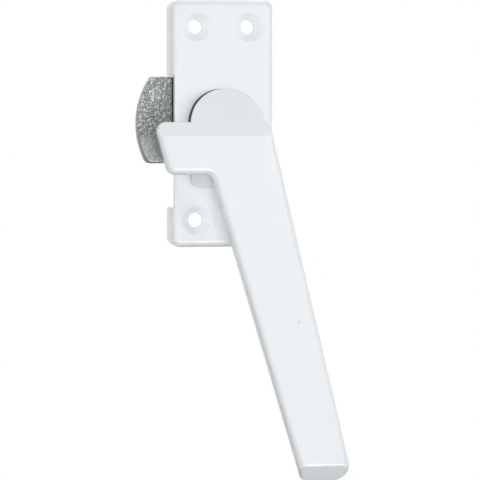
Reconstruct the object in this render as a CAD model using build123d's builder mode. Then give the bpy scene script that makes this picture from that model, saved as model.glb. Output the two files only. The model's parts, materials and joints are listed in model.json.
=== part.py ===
from build123d import *
from math import cos, radians, sin, sqrt, tan
import os

# Casement window fastener, closed: the lever hangs down and the cam stands out to the left.
# Millimetres. The origin is where the spindle's axis meets the mounting plane, the front is -Y
# and up is +Z. A "level" is a distance in front of the mounting plane.

# Fits
RUNNING_FIT = 0.05
SEAT_FIT = 0.03
RUNNING_GAP = 0.10

# Housing: die-cast tray, open at the back
HOUSING_WIDTH = 30.2
HOUSING_HEIGHT = 72.8
HOUSING_DEPTH = 11.0
HOUSING_CORNER = 2.5
HOUSING_EDGE = 1.9
HOUSING_INNER_CORNER = 1.0
SIDE_WALL = 2.2
FRONT_WALL = 3.0
SCREW_PITCH_X = 15.6
SCREW_PITCH_Z = 57.0
SCREW_HOLE_RADIUS = 2.15
SCREW_SINK_RADIUS = 4.3
SCREW_SINK_ANGLE = 90
SCREW_BOSS_RADIUS = 4.1
SCREW_BOSS_LENGTH = 1.7
BEARING_BOSS_RADIUS = 8.6
BEARING_BOSS_LENGTH = 0.8

# Slot in the housing's left wall, which the cam swings through
SLOT_ABOVE_CAM = 0.3
SLOT_BELOW_AXIS = 24.7
SLOT_TRIM = 0.8
SLOT_CORNER = 0.6

# Bearing collar: black bush with a flange that the hub turns on
COLLAR_FLANGE = 2.4
COLLAR_WALL = 1.4

# Handle: hub, side wing and lever in one casting
JOURNAL_RADIUS = 5.2
SQUARE_SIZE = 7.0
HUB_BASE_RADIUS = 10.05
HUB_DRAFT = 8.5
HANDLE_FRONT = 22.0
HANDLE_THICKNESS = 6.4
HANDLE_FRONT_EDGE = 2.0
HANDLE_BACK_EDGE = 1.5
RIDGE_BELOW_AXIS = 3.5
SLOPE_ANGLE = 25.0
SLOPE_EDGE = 0.4
WING_TOP = 0.5
WING_BOTTOM = -14.8
WING_TOP_REACH = 21.8
WING_BOTTOM_REACH = 17.5
WING_CORNER = 2.7
INNER_CORNER = 2.2
HEAD_CORNER = 2.6
LEVER_DROP = 105.8
LEVER_LEAN = 15.0
LEVER_ROOT_CENTRE = 5.6
LEVER_ROOT_WIDTH = 20.7
LEVER_END_WIDTH = 15.2
LEVER_END_LEFT_CORNER = 2.6
LEVER_END_RIGHT_CORNER = 4.5
LEVER_END_BEVEL = 48.0
LEVER_END_LAND = 1.9
LEVER_BEVEL_EDGE = 1.4
NECK_BELOW_AXIS = 18.9
NECK_CORNER = 2.8
NECK_SLOPE_ANGLE = 27.0

# Cam: sector-shaped tongue on the square
CAM_RADIUS = 24.8
CAM_TOP = 13.9
CAM_BOTTOM = -11.7
CAM_THICKNESS = 5.4
CAM_HUB_RADIUS = 10.0
CAM_SHOULDER = 8.0
CAM_NOSE_TOP_CORNER = 0.8
CAM_NOSE_BOTTOM_CORNER = 1.8
CAM_EDGE = 0.5
CAM_RECESS_DEPTH = 2.2

# Disc spring, retaining washer and screw
SPRING_THICKNESS = 0.3
SPRING_OUTER_RADIUS = 8.2
SPRING_SPACE = 0.5
WASHER_RADIUS = 5.8
WASHER_THICKNESS = 0.6
SCREW_RADIUS = 2.5
SCREW_LENGTH = 8.6
SCREW_HEAD_RADIUS = 4.0
SCREW_HEAD_HEIGHT = 1.5
SCREW_HEAD_EDGE = 0.5
SCREW_RECESS_WIDTH = 1.0
SCREW_RECESS_LENGTH = 4.4
SCREW_RECESS_DEPTH = 0.9
SPINDLE_SHORT = 0.1

# Levels along the spindle, from front to back
inner_face = HOUSING_DEPTH - FRONT_WALL
collar_front = HOUSING_DEPTH + COLLAR_FLANGE
hub_back = collar_front + RUNNING_GAP
handle_back = HANDLE_FRONT - HANDLE_THICKNESS
bearing_back = inner_face - BEARING_BOSS_LENGTH
cam_front = bearing_back - SPRING_SPACE
cam_back = cam_front - CAM_THICKNESS
recess_floor = cam_back + CAM_RECESS_DEPTH
spindle_end = recess_floor + SPINDLE_SHORT
washer_back = recess_floor - WASHER_THICKNESS
screw_back = washer_back - SCREW_HEAD_HEIGHT
screw_tip = washer_back + SCREW_LENGTH

collar_bore = JOURNAL_RADIUS + RUNNING_FIT
collar_sleeve = collar_bore + COLLAR_WALL
half_width = HOUSING_WIDTH / 2
slot_top = CAM_TOP + SLOT_ABOVE_CAM
slot_height = slot_top + SLOT_BELOW_AXIS
slot_centre = (slot_top - SLOT_BELOW_AXIS) / 2


def front_plane(level):
    """Plane parallel to the mounting plane, facing the front, with X right and Z up."""
    return Plane.XZ.offset(level)


def slope_plane(level, height, angle, up):
    """Plane tilted out of the front plane about X: it faces forwards and up, or forwards and down."""
    rise = sin(radians(angle)) * up
    return Plane(origin=(0, -level, height), x_dir=(1, 0, 0), z_dir=(0, -cos(radians(angle)), rise))


# Housing
with BuildPart() as housing:
    with BuildSketch(front_plane(0)):
        RectangleRounded(HOUSING_WIDTH, HOUSING_HEIGHT, HOUSING_CORNER)
    extrude(amount=HOUSING_DEPTH)
    fillet(housing.faces().sort_by(Axis.Y)[0].edges(), HOUSING_EDGE)
    with BuildSketch(front_plane(0)):
        RectangleRounded(HOUSING_WIDTH - 2 * SIDE_WALL, HOUSING_HEIGHT - 2 * SIDE_WALL, HOUSING_INNER_CORNER)
    extrude(amount=inner_face, mode=Mode.SUBTRACT)
    with BuildSketch(front_plane(inner_face - SCREW_BOSS_LENGTH)):
        with GridLocations(SCREW_PITCH_X, SCREW_PITCH_Z, 2, 2):
            Circle(SCREW_BOSS_RADIUS)
    extrude(amount=SCREW_BOSS_LENGTH)
    with BuildSketch(front_plane(bearing_back)):
        Circle(BEARING_BOSS_RADIUS)
    extrude(amount=BEARING_BOSS_LENGTH)
    # The slot is open to the back, and trims the rounded front edge to a flat
    with BuildSketch(front_plane(0)):
        with Locations((-half_width, slot_centre)):
            Rectangle(2 * SIDE_WALL, slot_height)
    extrude(amount=inner_face, mode=Mode.SUBTRACT)
    with BuildSketch(front_plane(0)):
        with Locations((-half_width, slot_centre)):
            Rectangle(2 * SLOT_TRIM, slot_height)
    extrude(amount=HOUSING_DEPTH, mode=Mode.SUBTRACT)
    left_face = housing.edges().filter_by(Axis.Y).group_by(Axis.X)[0]
    fillet(left_face, SLOT_CORNER)
    with Locations(front_plane(HOUSING_DEPTH)):
        with GridLocations(SCREW_PITCH_X, SCREW_PITCH_Z, 2, 2):
            CounterSinkHole(SCREW_HOLE_RADIUS, SCREW_SINK_RADIUS, counter_sink_angle=SCREW_SINK_ANGLE)
    with Locations(front_plane(HOUSING_DEPTH)):
        Hole(collar_sleeve + SEAT_FIT)

# Bearing collar
with BuildPart() as bearing_collar:
    with BuildSketch(front_plane(HOUSING_DEPTH)):
        Circle(HUB_BASE_RADIUS)
    extrude(amount=COLLAR_FLANGE)
    with BuildSketch(front_plane(bearing_back)):
        Circle(collar_sleeve)
    extrude(amount=HOUSING_DEPTH - bearing_back)
    with Locations(front_plane(collar_front)):
        Hole(collar_bore)

# Handle: corners of the head and lever, anticlockwise from the wing's top left, each with its radius
lever_run = LEVER_DROP + WING_BOTTOM
root_left = LEVER_ROOT_CENTRE - LEVER_ROOT_WIDTH / 2
root_right = LEVER_ROOT_CENTRE + LEVER_ROOT_WIDTH / 2
end_centre = LEVER_ROOT_CENTRE + lever_run * tan(radians(LEVER_LEAN))
end_left = end_centre - LEVER_END_WIDTH / 2
end_right = end_centre + LEVER_END_WIDTH / 2
right_lean = (end_right - root_right) / lever_run
head_right = root_right - right_lean * (WING_TOP - WING_BOTTOM)
handle_corners = [
    ((-WING_TOP_REACH, WING_TOP), WING_CORNER),
    ((-WING_BOTTOM_REACH, WING_BOTTOM), WING_CORNER),
    ((root_left, WING_BOTTOM), INNER_CORNER),
    ((end_left, -LEVER_DROP), LEVER_END_LEFT_CORNER),
    ((end_right, -LEVER_DROP), LEVER_END_RIGHT_CORNER),
    ((head_right, WING_TOP), HEAD_CORNER),
]
top_slope = slope_plane(HANDLE_FRONT, -RIDGE_BELOW_AXIS, SLOPE_ANGLE, 1)
end_slope = slope_plane(handle_back + LEVER_END_LAND, -LEVER_DROP, 90 - LEVER_END_BEVEL, -1)

with BuildPart() as hub:
    with BuildSketch(front_plane(hub_back)):
        Circle(HUB_BASE_RADIUS)
    extrude(amount=HANDLE_FRONT - hub_back, taper=-HUB_DRAFT)
    split(bisect_by=top_slope, keep=Keep.BOTTOM)

with BuildPart() as neck:
    with BuildSketch(front_plane(hub_back)) as neck_outline:
        with Locations((0, -NECK_BELOW_AXIS / 2)):
            Rectangle(2 * HUB_BASE_RADIUS, NECK_BELOW_AXIS)
        fillet(neck_outline.vertices().group_by(Axis.Y)[0], NECK_CORNER)
    extrude(amount=handle_back + HANDLE_BACK_EDGE - hub_back)
    split(bisect_by=slope_plane(hub_back, -NECK_BELOW_AXIS, NECK_SLOPE_ANGLE, -1), keep=Keep.BOTTOM)

with BuildPart() as handle:
    with BuildSketch(front_plane(handle_back)) as outline:
        with BuildLine():
            Polyline(*[point for point, radius in handle_corners], close=True)
        make_face()
        for point, radius in handle_corners:
            fillet(outline.vertices().sort_by_distance(point)[0], radius)
    extrude(amount=HANDLE_THICKNESS)
    fillet(handle.faces().sort_by(Axis.Y)[0].edges(), HANDLE_FRONT_EDGE)
    chamfer(handle.faces().sort_by(Axis.Y)[-1].edges(), HANDLE_BACK_EDGE)
    split(bisect_by=end_slope, keep=Keep.BOTTOM)
    bevel = handle.faces().filter_by(lambda face: face.normal_at().dot(end_slope.z_dir) > 0.9999)
    fillet(bevel.edges(), LEVER_BEVEL_EDGE)
    split(bisect_by=top_slope, keep=Keep.BOTTOM)
    add(hub.part)
    add(neck.part)
    slope = handle.faces().filter_by(lambda face: face.normal_at().dot(top_slope.z_dir) > 0.9999)
    fillet(slope.edges(), SLOPE_EDGE)
    with BuildSketch(front_plane(cam_front)):
        Circle(JOURNAL_RADIUS)
    extrude(amount=hub_back - cam_front)
    with BuildSketch(front_plane(spindle_end)):
        Rectangle(SQUARE_SIZE, SQUARE_SIZE)
    extrude(amount=cam_front - spindle_end)
    with BuildSketch(front_plane(spindle_end)):
        Circle(SCREW_RADIUS + SEAT_FIT)
    extrude(amount=screw_tip + SPINDLE_SHORT - spindle_end, mode=Mode.SUBTRACT)

# Cam
nose_top = (-sqrt(CAM_RADIUS**2 - CAM_TOP**2), CAM_TOP)
nose_bottom = (-sqrt(CAM_RADIUS**2 - CAM_BOTTOM**2), CAM_BOTTOM)

with BuildPart() as cam:
    with BuildSketch(front_plane(cam_back)) as cam_outline:
        with BuildLine():
            ThreePointArc(nose_top, (-CAM_RADIUS, 0), nose_bottom)
            Polyline(nose_bottom, (-CAM_SHOULDER, CAM_BOTTOM), (0, -CAM_HUB_RADIUS))
            ThreePointArc((0, -CAM_HUB_RADIUS), (CAM_HUB_RADIUS, 0), (0, CAM_HUB_RADIUS))
            Polyline((0, CAM_HUB_RADIUS), (-CAM_SHOULDER, CAM_TOP), nose_top)
        make_face()
        fillet(cam_outline.vertices().sort_by_distance(nose_top)[0], CAM_NOSE_TOP_CORNER)
        fillet(cam_outline.vertices().sort_by_distance(nose_bottom)[0], CAM_NOSE_BOTTOM_CORNER)
    extrude(amount=CAM_THICKNESS)
    chamfer(cam.faces().filter_by(Axis.Y).edges(), CAM_EDGE)
    with BuildSketch(front_plane(cam_back)):
        Rectangle(SQUARE_SIZE + 2 * SEAT_FIT, SQUARE_SIZE + 2 * SEAT_FIT)
    extrude(amount=CAM_THICKNESS, mode=Mode.SUBTRACT)
    with BuildSketch(front_plane(cam_back)):
        Circle(WASHER_RADIUS + RUNNING_GAP)
    extrude(amount=CAM_RECESS_DEPTH, mode=Mode.SUBTRACT)

# Disc spring: a shallow cone that bears on the cam inside and on the bearing boss outside
spring_bore = JOURNAL_RADIUS + RUNNING_GAP
spring_front = bearing_back - RUNNING_FIT
with BuildPart() as disc_spring:
    with BuildSketch(Plane.XY):
        with BuildLine():
            Polyline(
                (spring_bore, -cam_front),
                (SPRING_OUTER_RADIUS, SPRING_THICKNESS - spring_front),
                (SPRING_OUTER_RADIUS, -spring_front),
                (spring_bore, -cam_front - SPRING_THICKNESS),
                close=True,
            )
        make_face()
    revolve(axis=Axis.Y)

# Retaining washer
with BuildPart() as retaining_washer:
    with BuildSketch(front_plane(washer_back)):
        Circle(WASHER_RADIUS)
        Circle(SCREW_RADIUS + RUNNING_GAP, mode=Mode.SUBTRACT)
    extrude(amount=WASHER_THICKNESS)

# Cam screw
with BuildPart() as cam_screw:
    with BuildSketch(front_plane(screw_back)):
        Circle(SCREW_HEAD_RADIUS)
    extrude(amount=SCREW_HEAD_HEIGHT)
    chamfer(cam_screw.edges().sort_by(Axis.Y)[-1], SCREW_HEAD_EDGE)
    with BuildSketch(front_plane(washer_back)):
        Circle(SCREW_RADIUS)
    extrude(amount=SCREW_LENGTH)
    with BuildSketch(front_plane(screw_back)):
        Rectangle(SCREW_RECESS_LENGTH, SCREW_RECESS_WIDTH)
        Rectangle(SCREW_RECESS_WIDTH, SCREW_RECESS_LENGTH)
    extrude(amount=SCREW_RECESS_DEPTH, mode=Mode.SUBTRACT)

os.makedirs("parts", exist_ok=True)
pieces = {
    "housing": housing,
    "bearing_collar": bearing_collar,
    "handle": handle,
    "cam": cam,
    "disc_spring": disc_spring,
    "retaining_washer": retaining_washer,
    "cam_screw": cam_screw,
}
for name, piece in pieces.items():
    piece.part.label = name
    export_step(piece.part, f"parts/{name}.step")
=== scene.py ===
"""Finishes, stage and camera for a white lacquered casement window lock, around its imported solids."""

import json
from math import radians

import bmesh
import bpy
from bpy.props import FloatProperty, FloatVectorProperty, IntProperty, PointerProperty
from mathutils import Euler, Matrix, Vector


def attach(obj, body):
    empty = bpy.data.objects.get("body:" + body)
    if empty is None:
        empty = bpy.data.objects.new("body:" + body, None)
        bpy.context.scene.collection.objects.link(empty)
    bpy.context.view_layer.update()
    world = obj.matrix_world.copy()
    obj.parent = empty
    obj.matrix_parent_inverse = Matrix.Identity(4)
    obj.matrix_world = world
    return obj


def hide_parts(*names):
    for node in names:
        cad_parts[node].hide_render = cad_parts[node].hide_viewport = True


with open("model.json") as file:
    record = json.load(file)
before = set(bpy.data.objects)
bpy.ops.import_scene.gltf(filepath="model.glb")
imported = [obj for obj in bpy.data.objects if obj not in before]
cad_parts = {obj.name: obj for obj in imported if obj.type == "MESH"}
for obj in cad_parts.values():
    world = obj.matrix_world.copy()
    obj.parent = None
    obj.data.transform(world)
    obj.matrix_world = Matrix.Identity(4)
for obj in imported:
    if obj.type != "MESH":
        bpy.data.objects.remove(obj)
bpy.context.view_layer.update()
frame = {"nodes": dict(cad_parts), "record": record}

bl_info = {
    "name": "Casement window lock",
    "version": (1, 0, 0),
    "blender": (4, 5, 0),
    "location": "View3D > Sidebar > Window lock",
    "description": "Finishes a lacquered window lock with its cast cam and sets its studio",
    "category": "Object",
}

MM = 0.001
# Places within this of each other are the same
WELD = 0.002 * MM
# The rim of a sink lies within this of the hole's axis
SINK_REACH = 4.6 * MM


def linear(code):
    """Linear red, green and blue of an sRGB hex colour such as F2F4F6."""
    shares = [int(code[i : i + 2], 16) / 255 for i in (0, 2, 4)]
    return [s / 12.92 if s <= 0.04045 else ((s + 0.055) / 1.055) ** 2.4 for s in shares]


def opaque(colour):
    """A colour property as red, green, blue and a full alpha."""
    return (*colour, 1.0)


def add(tree, kind, inputs=None, **settings):
    """Adds a node with its settings. An input is a value, or a (node, output) pair to link from."""
    node = tree.nodes.new(kind)
    for key, value in settings.items():
        setattr(node, key, value)
    for key, value in (inputs or {}).items():
        if isinstance(value, tuple) and isinstance(value[0], bpy.types.Node):
            tree.links.new(value[0].outputs[value[1]], node.inputs[key])
        else:
            node.inputs[key].default_value = value
    return node


def new_material(name):
    """An empty node material and its output."""
    material = bpy.data.materials.new(name)
    material.use_nodes = True
    material.node_tree.nodes.clear()
    return material, add(material.node_tree, "ShaderNodeOutputMaterial")


# Sizes and colours that a user would change


class LacquerSettings(bpy.types.PropertyGroup):
    """White stoved lacquer on the housing and the handle."""

    colour: FloatVectorProperty(
        name="Colour",
        description="Cool white of the lacquer",
        subtype="COLOR",
        default=linear("F1F5F8"),
    )
    shade: FloatVectorProperty(
        name="Thin coat",
        description="Lacquer where it is a little thinner",
        subtype="COLOR",
        default=linear("EEF2F5"),
    )
    # Painted shade: greyer colour for the neck under the wing, standing in for the wing's shadow
    wing_shade: FloatVectorProperty(
        name="Recess",
        description="Thin, greyer coat under the wing",
        subtype="COLOR",
        default=linear("E2E5E8"),
    )
    roughness: FloatProperty(
        name="Roughness", description="Blur of the gloss", subtype="FACTOR", default=0.1, min=0, max=1
    )
    peel: FloatProperty(
        name="Orange peel", description="Width of the flow ripples", unit="LENGTH", default=2.2 * MM
    )
    peel_height: FloatProperty(
        name="Ripple height",
        description="Height of the flow ripples",
        unit="LENGTH",
        default=0.004 * MM,
    )
    rim: FloatProperty(
        name="Rim",
        description="Round of the lacquer on the screw holes' rims",
        unit="LENGTH",
        default=0.3 * MM,
    )


class CamSettings(bpy.types.PropertyGroup):
    """Zinc-coated cast cam."""

    bright: FloatVectorProperty(
        name="Bright zinc",
        description="Crests of the grain",
        subtype="COLOR",
        default=linear("9CA0A0"),
    )
    dull: FloatVectorProperty(
        name="Dull zinc",
        description="Pits of the grain",
        subtype="COLOR",
        default=linear("5D6262"),
    )
    # Partly painted highlight: white for the zinc crystals, standing in for their sparkle
    crystal_glint: FloatVectorProperty(
        name="Crystals",
        description="Zinc crystals that stand out of the grey",
        subtype="COLOR",
        default=linear("FFFFFF"),
    )
    # Painted shade: plain grey for the front of the cam's foot, standing in for the wing's shadow
    plain: FloatVectorProperty(
        name="Plain foot",
        description="Smoother zinc on the cam's foot",
        subtype="COLOR",
        default=linear("999D9D"),
    )
    # Strength of the painted shade on the foot, which also fades its crystals and relief
    foot_shade: FloatProperty(
        name="Foot",
        description="How much smoother the foot is",
        subtype="FACTOR",
        default=0.6,
        min=0,
        max=1,
    )
    # Painted shadow: dark colour for the gap where the cam enters the slot
    slot_shadow: FloatVectorProperty(
        name="Grease",
        description="Dark line where the cam enters the slot",
        subtype="COLOR",
        default=linear("303334"),
    )
    grain: FloatProperty(
        name="Grain", description="Width of one grain", unit="LENGTH", default=0.6 * MM
    )
    crystal: FloatProperty(
        name="Crystal", description="Width of one zinc crystal", unit="LENGTH", default=0.34 * MM
    )
    height: FloatProperty(
        name="Grain height", description="Height of the grain", unit="LENGTH", default=0.07 * MM
    )
    voxel: FloatProperty(
        name="Mesh size", description="Size of the cam's faces", unit="LENGTH", default=0.18 * MM
    )
    hub_radius: FloatProperty(
        name="Hub radius", description="Machined hub that stays smooth", unit="LENGTH", default=11 * MM
    )
    seed: IntProperty(name="Seed", description="Which grain", default=4)


class TrimSettings(bpy.types.PropertyGroup):
    """Nylon collar and plated fixings."""

    nylon: FloatVectorProperty(
        name="Nylon",
        description="Black of the bearing collar",
        subtype="COLOR",
        default=linear("0A0A0B"),
    )
    flange: FloatProperty(
        name="Flange",
        description="How much smaller the pressed flange is than drawn",
        unit="LENGTH",
        default=0.13 * MM,
    )
    lean: FloatVectorProperty(
        name="Lean",
        description="How far the flange sits off the spindle",
        subtype="TRANSLATION",
        default=(-0.36 * MM, 0, 0.36 * MM),
    )
    plate: FloatVectorProperty(
        name="Zinc plate",
        description="Spring, washer and screw",
        subtype="COLOR",
        default=linear("C4C7C9"),
    )


class StageSettings(bpy.types.PropertyGroup):
    """Floor and the light of the room."""

    ambient: FloatProperty(
        name="Ambient", description="Light from the white room", default=0.05, min=0
    )
    floor_drop: FloatProperty(
        name="Floor drop", description="Floor below the mounting axis", unit="LENGTH", default=0.60
    )
    floor: FloatVectorProperty(
        name="Floor", description="Pale studio paper", subtype="COLOR", default=linear("A8A8A8")
    )


# Materials

# Widths of the textures, and heights of their bumps
FILM_WIDTH = 25 * MM
NYLON_TEXTURE = 0.3 * MM
PRESS_MARK = 0.6 * MM
FINE_RISE = 0.01 * MM
CAST_RISE = 0.22 * MM
# How far the roughness of the lacquer strays to either side
ROUGHNESS_BELOW = 0.03
ROUGHNESS_ABOVE = 0.05
# The painted slot shadow is full as far as its reach from the slot, and gone at its edge
SLOT_SHADOW_REACH = 0.2 * MM
SLOT_SHADOW_EDGE = 0.45 * MM
# Small flaws in the lacquer: place, reach and rise in millimetres
MARKS = {
    "speck on the lever": ((20.81, -22.0, -58.11), 0.5, 0.25),
    "nick in the lower left sink": ((-4.4, -10.4, -30.0), 0.6, -0.3),
    "drip beside the nick": ((-5.1, -9.7, -29.6), 0.5, 0.4),
}
# Bounds of the painted shade on the neck under the wing: axis, and millimetres just outside and inside
WING_SHADE_BOUNDS = (("Y", -11.2, -11.4), ("Y", -17.0, -16.2), ("Z", -11.0, -14.0))
# Bounds of the painted shade on the front of the cam's foot, in the same way
FOOT_SHADE_BOUNDS = (("Y", -4.0, -5.0), ("Z", -3.3, -4.2))
# Where the cam's front face meets the slot, in millimetres
SLOT_LINE = (-14.25, -6.7, 0)


def region(tree, coords, bounds):
    """Share of a region of the lock, from 0 outside its bounds to 1 inside all of them."""
    place = add(tree, "ShaderNodeSeparateXYZ", {"Vector": (coords, "Object")})
    share = None
    for axis, outside, inside in bounds:
        limits = {"Value": (place, axis), "From Min": outside * MM, "From Max": inside * MM}
        within = add(tree, "ShaderNodeMapRange", limits)
        if share:
            within = add(tree, "ShaderNodeMath", {0: (share, 0), 1: (within, 0)}, operation="MULTIPLY")
        share = within
    return share


def stoved_lacquer(settings):
    """White stoved lacquer, sprayed and baked on a zinc casting: faint flow ripples and a soft gloss."""
    material, output = new_material("stoved_white_lacquer")
    tree = material.node_tree
    coords = add(tree, "ShaderNodeTexCoord")
    # Broad uneven film that shifts the tone by a hair
    film = add(
        tree,
        "ShaderNodeTexNoise",
        {"Vector": (coords, "Object"), "Scale": 1 / FILM_WIDTH, "Detail": 2.0},
    )
    tone = add(
        tree,
        "ShaderNodeMix",
        {0: (film, "Fac"), 6: opaque(settings.colour), 7: opaque(settings.shade)},
        data_type="RGBA",
    )
    # Painted shade: a greyer colour on the neck under the wing, standing in for the wing's shadow there
    wing_shade = region(tree, coords, WING_SHADE_BOUNDS)
    coat = add(
        tree,
        "ShaderNodeMix",
        {0: (wing_shade, 0), 6: (tone, 2), 7: opaque(settings.wing_shade)},
        data_type="RGBA",
    )
    ripple = add(
        tree,
        "ShaderNodeTexNoise",
        {"Vector": (coords, "Object"), "Scale": 1 / settings.peel, "Detail": 1.5, "Roughness": 0.4},
    )
    height = add(
        tree,
        "ShaderNodeMath",
        {0: (ripple, "Fac"), 1: settings.peel_height},
        operation="MULTIPLY",
    )
    for place, reach, rise in MARKS.values():
        away = add(
            tree,
            "ShaderNodeVectorMath",
            {0: (coords, "Object"), 1: [length * MM for length in place]},
            operation="DISTANCE",
        )
        mark = add(
            tree,
            "ShaderNodeMapRange",
            {"Value": (away, "Value"), "From Max": reach * MM, "To Min": rise * MM, "To Max": 0.0},
            interpolation_type="SMOOTHSTEP",
        )
        height = add(tree, "ShaderNodeMath", {0: (height, 0), 1: (mark, "Result")}, operation="ADD")
    bump = add(tree, "ShaderNodeBump", {"Height": (height, 0), "Distance": 1.0, "Strength": 1.0})
    gloss = add(
        tree,
        "ShaderNodeMapRange",
        {
            "Value": (film, "Fac"),
            "To Min": settings.roughness - ROUGHNESS_BELOW,
            "To Max": settings.roughness + ROUGHNESS_ABOVE,
        },
    )
    shader = add(
        tree,
        "ShaderNodeBsdfPrincipled",
        {
            "Base Color": (coat, 2),
            "Roughness": (gloss, "Result"),
            "IOR": 1.43,
            "Normal": (bump, "Normal"),
        },
    )
    tree.links.new(shader.outputs["BSDF"], output.inputs["Surface"])
    return material


def moulded_nylon(settings):
    """Black nylon, injection moulded: matt, with a fine spark-eroded texture."""
    material, output = new_material("moulded_black_nylon")
    tree = material.node_tree
    coords = add(tree, "ShaderNodeTexCoord")
    texture = add(
        tree,
        "ShaderNodeTexNoise",
        {"Vector": (coords, "Object"), "Scale": 1 / NYLON_TEXTURE, "Detail": 2.0},
    )
    bump = add(tree, "ShaderNodeBump", {"Height": (texture, "Fac"), "Distance": FINE_RISE, "Strength": 0.6})
    gloss = add(tree, "ShaderNodeMapRange", {"Value": (texture, "Fac"), "To Min": 0.45, "To Max": 0.65})
    shader = add(
        tree,
        "ShaderNodeBsdfPrincipled",
        {
            "Base Color": opaque(settings.nylon),
            "Roughness": (gloss, "Result"),
            "IOR": 1.53,
            "Normal": (bump, "Normal"),
        },
    )
    tree.links.new(shader.outputs["BSDF"], output.inputs["Surface"])
    return material


def galvanised_casting(settings):
    """Sand casting with a bright zinc coat: crystals sparkle on a dull, pitted grey."""
    material, output = new_material("galvanised_sand_casting")
    tree = material.node_tree
    coords = add(tree, "ShaderNodeTexCoord")
    grain = add(
        tree,
        "ShaderNodeTexNoise",
        {
            "Vector": (coords, "Object"),
            "Scale": 1 / settings.grain,
            "Detail": 3.0,
            "Roughness": 0.65,
            "Distortion": 0.6,
        },
    )
    spread = add(tree, "ShaderNodeMapRange", {"Value": (grain, "Fac"), "From Min": 0.38, "From Max": 0.64})
    tone = add(
        tree,
        "ShaderNodeMix",
        {0: (spread, "Result"), 6: opaque(settings.dull), 7: opaque(settings.bright)},
        data_type="RGBA",
    )
    # Painted shade: the front of the foot, below the axis, turns a plain grey with fewer crystals, standing
    # in for the wing's shadow; its relief is also made smoother
    front = region(tree, coords, FOOT_SHADE_BOUNDS)
    foot_shade = add(tree, "ShaderNodeMath", {0: (front, 0), 1: settings.foot_shade}, operation="MULTIPLY")
    ground_and_foot_shade = add(
        tree,
        "ShaderNodeMix",
        {0: (foot_shade, 0), 6: (tone, 2), 7: opaque(settings.plain)},
        data_type="RGBA",
    )
    # Zinc crystals, about a third of a millimetre wide, that stand out of the grey; their white colour is
    # partly a painted glint for their sparkle under the lamps
    crystals = add(
        tree,
        "ShaderNodeTexNoise",
        {"Vector": (coords, "Object"), "Scale": 1 / settings.crystal, "Detail": 1.0, "Distortion": 1.4},
    )
    crystal_glint = add(
        tree,
        "ShaderNodeMapRange",
        {"Value": (crystals, "Fac"), "From Min": 0.585, "From Max": 0.62},
    )
    rough = add(tree, "ShaderNodeMath", {0: 1.0, 1: (foot_shade, 0)}, operation="SUBTRACT")
    share = add(tree, "ShaderNodeMath", {0: (crystal_glint, "Result"), 1: (rough, 0)}, operation="MULTIPLY")
    coat = add(
        tree,
        "ShaderNodeMix",
        {0: (share, 0), 6: (ground_and_foot_shade, 2), 7: opaque(settings.crystal_glint)},
        data_type="RGBA",
    )
    # Painted shadow: a dark line along the cam's front face where it passes into the slot, standing in for
    # the shadow in the gap
    across = add(tree, "ShaderNodeVectorMath", {0: (coords, "Object"), 1: (1, 1, 0)}, operation="MULTIPLY")
    away = add(
        tree,
        "ShaderNodeVectorMath",
        {0: (across, 0), 1: [length * MM for length in SLOT_LINE]},
        operation="DISTANCE",
    )
    slot_shadow_share = add(
        tree,
        "ShaderNodeMapRange",
        {
            "Value": (away, "Value"),
            "From Min": SLOT_SHADOW_REACH,
            "From Max": SLOT_SHADOW_EDGE,
            "To Min": 1.0,
            "To Max": 0.0,
        },
    )
    coat_and_slot_shadow = add(
        tree,
        "ShaderNodeMix",
        {0: (slot_shadow_share, "Result"), 6: (coat, 2), 7: opaque(settings.slot_shadow)},
        data_type="RGBA",
    )
    height = add(tree, "ShaderNodeMath", {0: (grain, "Fac"), 1: (crystals, "Fac")}, operation="ADD")
    relief = add(tree, "ShaderNodeMath", {0: (height, 0), 1: (rough, 0)}, operation="MULTIPLY")
    bump = add(tree, "ShaderNodeBump", {"Height": (relief, 0), "Distance": CAST_RISE, "Strength": 1.0})
    gloss = add(tree, "ShaderNodeMapRange", {"Value": (share, 0), "To Min": 0.42, "To Max": 0.28})
    shader = add(
        tree,
        "ShaderNodeBsdfPrincipled",
        {
            "Base Color": (coat_and_slot_shadow, 2),
            "Metallic": 0.6,
            "Roughness": (gloss, "Result"),
            "Normal": (bump, "Normal"),
        },
    )
    tree.links.new(shader.outputs["BSDF"], output.inputs["Surface"])
    return material


def zinc_plate(settings):
    """Bright zinc plate on pressed steel: clean silver with faint press marks."""
    material, output = new_material("bright_zinc_plate")
    tree = material.node_tree
    coords = add(tree, "ShaderNodeTexCoord")
    marks = add(
        tree,
        "ShaderNodeTexNoise",
        {"Vector": (coords, "Object"), "Scale": 1 / PRESS_MARK, "Detail": 3.0},
    )
    bump = add(tree, "ShaderNodeBump", {"Height": (marks, "Fac"), "Distance": FINE_RISE, "Strength": 0.5})
    gloss = add(tree, "ShaderNodeMapRange", {"Value": (marks, "Fac"), "To Min": 0.22, "To Max": 0.4})
    shader = add(
        tree,
        "ShaderNodeBsdfPrincipled",
        {
            "Base Color": opaque(settings.plate),
            "Metallic": 1.0,
            "Roughness": (gloss, "Result"),
            "Normal": (bump, "Normal"),
        },
    )
    tree.links.new(shader.outputs["BSDF"], output.inputs["Surface"])
    return material


# Pieces

# Edges over these angles, in degrees, stay sharp
SHARP_ANGLE = 35
HANDLE_SHARP_ANGLE = 50
# The rim of a sink turns by more than this, in degrees
RIM_ANGLE = 20
# Width over which the grain fades in round the cam's hub, and how far one seed lies from the next
HUB_BLEND = 2 * MM
SEED_STEP = 0.1


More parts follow.
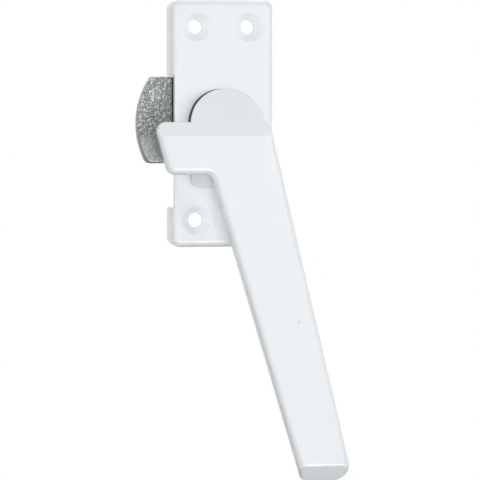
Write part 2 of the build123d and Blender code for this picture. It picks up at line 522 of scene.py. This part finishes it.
def welded_copy(node, name):
    """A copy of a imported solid's mesh with its facets joined, linked to the scene."""
    mesh = frame["nodes"][node].data.copy()
    mesh.name = name
    mesh.materials.clear()
    mesh.attributes.remove(mesh.attributes["custom_normal"])
    shape = bmesh.new()
    shape.from_mesh(mesh)
    bmesh.ops.remove_doubles(shape, verts=shape.verts, dist=WELD)
    shape.to_mesh(mesh)
    shape.free()
    piece = bpy.data.objects.new(name, mesh)
    bpy.context.scene.collection.objects.link(piece)
    return piece


def smooth(piece, angle=SHARP_ANGLE):
    """Rounded shading over fillets, with flat faces kept flat and edges over the angle kept sharp."""
    mesh = piece.data
    mesh.shade_smooth()
    mesh.set_sharp_from_angle(angle=radians(angle))
    even = piece.modifiers.new("flat faces", "WEIGHTED_NORMAL")
    even.keep_sharp = True
    bake_modifiers(piece)


def bake_modifiers(piece):
    """Turns the evaluated object into a plain mesh and removes its modifiers."""
    bpy.context.view_layer.update()
    evaluated = piece.evaluated_get(bpy.context.evaluated_depsgraph_get())
    mesh = bpy.data.meshes.new_from_object(evaluated)
    mesh.name = piece.name
    piece.modifiers.clear()
    piece.data = mesh


def fit(piece, node, material):
    """Gives a finished piece its material and sets it in the place of its solid."""
    record = frame["record"]
    body = next(name for name, nodes in record["behaviour"]["bodies"].items() if node in nodes)
    piece.data.materials.clear()
    piece.data.materials.append(material)
    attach(piece, body)
    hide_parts(node)


def round_sink_rims(piece, radius):
    """Rounds the rims of the countersunk holes, where the lacquer flows over the edge."""
    holes = next(mount for mount in frame["record"]["mounts"] if mount["name"] == "screw_holes")
    across = holes["dims"]["spacing_x_mm"] / 2 * MM
    along = holes["dims"]["spacing_y_mm"] / 2 * MM
    front = min(vertex.co.y for vertex in piece.data.vertices)
    shape = bmesh.new()
    shape.from_mesh(piece.data)

    def on_rim(vertex):
        level = abs(vertex.co.y - front) < WELD
        reach = Vector((abs(vertex.co.x) - across, abs(vertex.co.z) - along)).length
        return level and reach < SINK_REACH

    rims = [edge for edge in shape.edges if all(on_rim(vertex) for vertex in edge.verts)]
    rims = [edge for edge in rims if edge.calc_face_angle(0) > radians(RIM_ANGLE)]
    bmesh.ops.bevel(shape, geom=rims, offset=radius, segments=4, profile=0.5, affect="EDGES")
    shape.to_mesh(piece.data)
    shape.free()


class WINDOWLOCK_OT_castings(bpy.types.Operator):
    """Lacquers the housing and the handle"""

    bl_idname = "window_lock.castings"
    bl_label = "Lacquered castings"

    def execute(self, context):
        settings = context.scene.lock_lacquer
        lacquer = stoved_lacquer(settings)
        housing = welded_copy("housing", "lacquered_housing")
        round_sink_rims(housing, settings.rim)
        smooth(housing)
        fit(housing, "housing", lacquer)
        handle = welded_copy("handle", "lacquered_handle")
        smooth(handle, HANDLE_SHARP_ANGLE)
        fit(handle, "handle", lacquer)
        return {"FINISHED"}


class WINDOWLOCK_OT_collar(bpy.types.Operator):
    """Finishes the bearing collar"""

    bl_idname = "window_lock.collar"
    bl_label = "Bearing collar"

    def execute(self, context):
        settings = context.scene.lock_trim
        piece = welded_copy("bearing_collar", "nylon_collar")
        reach = max(Vector((vertex.co.x, vertex.co.z)).length for vertex in piece.data.vertices)
        share = 1 - settings.flange / reach
        for vertex in piece.data.vertices:
            if Vector((vertex.co.x, vertex.co.z)).length > reach - WELD:
                vertex.co.x *= share
                vertex.co.z *= share
                vertex.co += Vector(settings.lean)
        smooth(piece)
        fit(piece, "bearing_collar", moulded_nylon(settings))
        return {"FINISHED"}


def cast_grain(settings, material):
    """Geometry Nodes that raise and pit a surface in grains, away from the cam's machined hub."""
    tree = bpy.data.node_groups.new("cast grain", "GeometryNodeTree")
    ports = tree.interface
    ports.new_socket("Geometry", in_out="INPUT", socket_type="NodeSocketGeometry")
    for name in ("Grain", "Height", "Hub radius"):
        ports.new_socket(name, in_out="INPUT", socket_type="NodeSocketFloat")
    ports.new_socket("Seed", in_out="INPUT", socket_type="NodeSocketInt")
    ports.new_socket("Geometry", in_out="OUTPUT", socket_type="NodeSocketGeometry")
    given = add(tree, "NodeGroupInput")
    place = add(tree, "GeometryNodeInputPosition")
    shift = add(tree, "ShaderNodeMath", {0: (given, "Seed"), 1: SEED_STEP}, operation="MULTIPLY")
    moved = add(tree, "ShaderNodeVectorMath", {0: (place, 0), 1: (shift, 0)}, operation="ADD")
    scale = add(tree, "ShaderNodeMath", {0: 1.0, 1: (given, "Grain")}, operation="DIVIDE")
    noise = add(
        tree,
        "ShaderNodeTexNoise",
        {"Vector": (moved, 0), "Scale": (scale, 0), "Detail": 2.0, "Roughness": 0.6},
    )
    centred = add(tree, "ShaderNodeMath", {0: (noise, "Fac"), 1: 0.5}, operation="SUBTRACT")
    flat = add(tree, "ShaderNodeVectorMath", {0: (place, 0), 1: (1, 0, 1)}, operation="MULTIPLY")
    reach = add(tree, "ShaderNodeVectorMath", {0: (flat, 0)}, operation="LENGTH")
    edge = add(tree, "ShaderNodeMath", {0: (given, "Hub radius"), 1: HUB_BLEND}, operation="ADD")
    share = add(
        tree,
        "ShaderNodeMapRange",
        {"Value": (reach, "Value"), "From Min": (given, "Hub radius"), "From Max": (edge, 0)},
    )
    height = add(tree, "ShaderNodeMath", {0: (share, "Result"), 1: (given, "Height")}, operation="MULTIPLY")
    step = add(tree, "ShaderNodeMath", {0: (centred, 0), 1: (height, 0)}, operation="MULTIPLY")
    normal = add(tree, "GeometryNodeInputNormal")
    offset = add(tree, "ShaderNodeVectorMath", {0: (normal, 0), "Scale": (step, 0)}, operation="SCALE")
    rough = add(tree, "GeometryNodeSetPosition", {"Geometry": (given, "Geometry"), "Offset": (offset, 0)})
    whole = add(tree, "GeometryNodeRealizeInstances", {"Geometry": (rough, 0)})
    coated = add(tree, "GeometryNodeSetMaterial", {"Geometry": (whole, 0), "Material": material})
    add(tree, "NodeGroupOutput", {"Geometry": (coated, 0)})
    return tree


class WINDOWLOCK_OT_cam(bpy.types.Operator):
    """Roughens the cam into a sand casting"""

    bl_idname = "window_lock.cam"
    bl_label = "Cast cam"

    def execute(self, context):
        settings = context.scene.lock_cam
        material = galvanised_casting(settings)
        piece = welded_copy("cam", "cast_cam")
        remesh = piece.modifiers.new("even faces", "REMESH")
        remesh.mode = "VOXEL"
        remesh.voxel_size = settings.voxel
        remesh.use_smooth_shade = True
        grain = piece.modifiers.new("cast grain", "NODES")
        grain.node_group = cast_grain(settings, material)
        values = {
            "Grain": settings.grain,
            "Height": settings.height,
            "Hub radius": settings.hub_radius,
            "Seed": settings.seed,
        }
        for socket in grain.node_group.interface.items_tree:
            if socket.in_out == "INPUT" and socket.name in values:
                grain[socket.identifier] = values[socket.name]
        bake_modifiers(piece)
        fit(piece, "cam", material)
        return {"FINISHED"}


class WINDOWLOCK_OT_fixings(bpy.types.Operator):
    """Finishes the spring, washer and screw behind the cam"""

    bl_idname = "window_lock.fixings"
    bl_label = "Plated fixings"

    def execute(self, context):
        plate = zinc_plate(context.scene.lock_trim)
        for node in ("disc_spring", "retaining_washer", "cam_screw"):
            piece = welded_copy(node, f"plated_{node}")
            smooth(piece)
            fit(piece, node, plate)
        return {"FINISHED"}


# Stage

CAMERA_PLACE = Vector((-116.71, -702.07, 2.38)) * MM
CAMERA_TURN = Euler((radians(87), 0, radians(-10)))
CAMERA_LENS = 177.98
LIGHT_TARGET = Vector((5, -12, -35)) * MM
FLOOR_RADIUS = 2.0
# Share of plain white in the paper, as the camera sees it
PAPER_WHITE = 0.7
# Each light: azimuth to the right and elevation in degrees; distance, width and height in metres; watts;
# and whether it casts shadows, lights the lock and shines back from its gloss
LIGHTS = {
    "key_right": (48, 12, 0.7, 0.05, 0.05, 0.8, True, True, True),
    "side_right": (75, 5, 1.0, 0.4, 0.4, 1.1, True, True, False),
    "soft_left": (-62, 18, 1.0, 0.6, 0.6, 2.1, True, True, True),
    "top_right": (30, 40, 1.0, 0.4, 0.4, 0.1, True, True, False),
    "top_left": (-20, 35, 1.0, 0.4, 0.4, 0.1, True, True, False),
    "back_top": (180, 62, 1.0, 0.8, 0.6, 5.0, True, True, True),
    "fill_front": (5, 5, 1.0, 0.45, 0.45, 3.0, True, True, False),
    "fill_level": (5, 0, 1.0, 0.45, 0.45, 2.15, False, True, False),
    "fill_low": (5, -30, 1.0, 0.45, 0.45, 0.6, False, True, False),
    "fill_left": (-72, -5, 1.0, 0.45, 0.45, 1.9, False, True, False),
    "fill_right": (60, 5, 1.0, 0.45, 0.45, 0.3, False, True, False),
    "edge_right": (88, 5, 1.0, 0.45, 0.45, 0.6, False, True, False),
    "fill_back": (180, 8, 1.0, 0.45, 0.45, 3.5, True, True, False),
    "strip_right": (26, 11, 1.0, 0.2, 0.32, 1.3, True, False, True),
    "strip_low": (10, -20, 1.0, 0.4, 0.08, 6.0, True, False, True),
}


def add_light(name, azimuth, elevation, distance, width, height, watts, casts, lights, shines):
    """A rectangular area light that faces the lock."""
    lamp = bpy.data.lights.new(name, "AREA")
    lamp.shape = "RECTANGLE"
    lamp.size = width
    lamp.size_y = height
    lamp.energy = watts
    lamp.use_shadow = casts
    lamp.cycles.use_multiple_importance_sampling = casts
    light = bpy.data.objects.new(name, lamp)
    light.visible_diffuse = lights
    light.visible_glossy = shines
    bpy.context.scene.collection.objects.link(light)
    turn = Euler((radians(90 - elevation), 0, radians(azimuth)))
    light.rotation_euler = turn
    light.location = LIGHT_TARGET + turn.to_matrix() @ Vector((0, 0, distance))


class WINDOWLOCK_OT_stage(bpy.types.Operator):
    """Sets the floor, lights and camera"""

    bl_idname = "window_lock.stage"
    bl_label = "Stage"

    def execute(self, context):
        settings = context.scene.lock_stage
        scene = context.scene
        scene.view_settings.view_transform = "Standard"
        self.set_world(scene, settings)
        self.set_floor(scene, settings)
        for name, values in LIGHTS.items():
            add_light(name, *values)
        camera = bpy.data.objects.new("camera", bpy.data.cameras.new("camera"))
        camera.data.lens = CAMERA_LENS
        camera.location = CAMERA_PLACE
        camera.rotation_euler = CAMERA_TURN
        scene.collection.objects.link(camera)
        scene.camera = camera
        return {"FINISHED"}

    def set_world(self, scene, settings):
        """White to the eye and in reflections, and a dimmer even light on the lock."""
        world = bpy.data.worlds.new("white_room")
        world.use_nodes = True
        scene.world = world
        tree = world.node_tree
        tree.nodes.clear()
        rays = add(tree, "ShaderNodeLightPath")
        seen = add(
            tree,
            "ShaderNodeMath",
            {0: (rays, "Is Camera Ray"), 1: (rays, "Is Glossy Ray")},
            operation="ADD",
        )
        shown = add(
            tree,
            "ShaderNodeMath",
            {0: (seen, 0), 1: (rays, "Is Transmission Ray")},
            operation="ADD",
        )
        room = add(tree, "ShaderNodeBackground", {"Color": opaque((1, 1, 1)), "Strength": settings.ambient})
        white = add(tree, "ShaderNodeBackground", {"Color": opaque((1, 1, 1)), "Strength": 1.0})
        mix = add(tree, "ShaderNodeMixShader", {0: (shown, 0), 1: (room, 0), 2: (white, 0)})
        add(tree, "ShaderNodeOutputWorld", {"Surface": (mix, 0)})

    def set_floor(self, scene, settings):
        """Pale paper well below the lock."""
        material, output = new_material("studio_paper")
        tree = material.node_tree
        rays = add(tree, "ShaderNodeLightPath")
        paper = add(tree, "ShaderNodeBsdfDiffuse", {"Color": opaque(settings.floor)})
        white = add(tree, "ShaderNodeEmission", {"Strength": 1.0})
        share = add(
            tree,
            "ShaderNodeMath",
            {0: (rays, "Is Camera Ray"), 1: PAPER_WHITE},
            operation="MULTIPLY",
        )
        mix = add(tree, "ShaderNodeMixShader", {0: (share, 0), 1: (paper, 0), 2: (white, 0)})
        tree.links.new(mix.outputs[0], output.inputs["Surface"])
        shape = bmesh.new()
        bmesh.ops.create_circle(shape, cap_ends=True, segments=96, radius=FLOOR_RADIUS)
        bmesh.ops.translate(shape, verts=shape.verts, vec=(0, 0, -settings.floor_drop))
        mesh = bpy.data.meshes.new("floor")
        shape.to_mesh(mesh)
        shape.free()
        mesh.materials.append(material)
        floor = bpy.data.objects.new("floor", mesh)
        scene.collection.objects.link(floor)


class WINDOWLOCK_PT_panel(bpy.types.Panel):
    """Lists the lock's pieces and its stage"""

    bl_idname = "WINDOWLOCK_PT_panel"
    bl_label = "Window lock"
    bl_space_type = "VIEW_3D"
    bl_region_type = "UI"
    bl_category = "Window lock"

    def draw(self, context):
        for operator in OPERATORS:
            self.layout.operator(operator.bl_idname)
        for name in SETTINGS:
            group = getattr(context.scene, name)
            box = self.layout.box()
            for key in group.bl_rna.properties.keys():
                if key not in ("rna_type", "name"):
                    box.prop(group, key)


SETTINGS = {
    "lock_lacquer": LacquerSettings,
    "lock_cam": CamSettings,
    "lock_trim": TrimSettings,
    "lock_stage": StageSettings,
}
OPERATORS = (
    WINDOWLOCK_OT_castings,
    WINDOWLOCK_OT_collar,
    WINDOWLOCK_OT_cam,
    WINDOWLOCK_OT_fixings,
    WINDOWLOCK_OT_stage,
)


def register():
    """Registers the settings, the operators and the panel."""
    for name, group in SETTINGS.items():
        bpy.utils.register_class(group)
        setattr(bpy.types.Scene, name, PointerProperty(type=group))
    for operator in OPERATORS:
        bpy.utils.register_class(operator)
    bpy.utils.register_class(WINDOWLOCK_PT_panel)


def unregister():
    """Removes what register added."""
    bpy.utils.unregister_class(WINDOWLOCK_PT_panel)
    for operator in reversed(OPERATORS):
        bpy.utils.unregister_class(operator)
    for name, group in SETTINGS.items():
        delattr(bpy.types.Scene, name)
        bpy.utils.unregister_class(group)


def main():
    """Builds the pieces and the stage."""
    register()
    bpy.ops.window_lock.castings()
    bpy.ops.window_lock.collar()
    bpy.ops.window_lock.cam()
    bpy.ops.window_lock.fixings()
    bpy.ops.window_lock.stage()


if __name__ == "__main__":
    main()
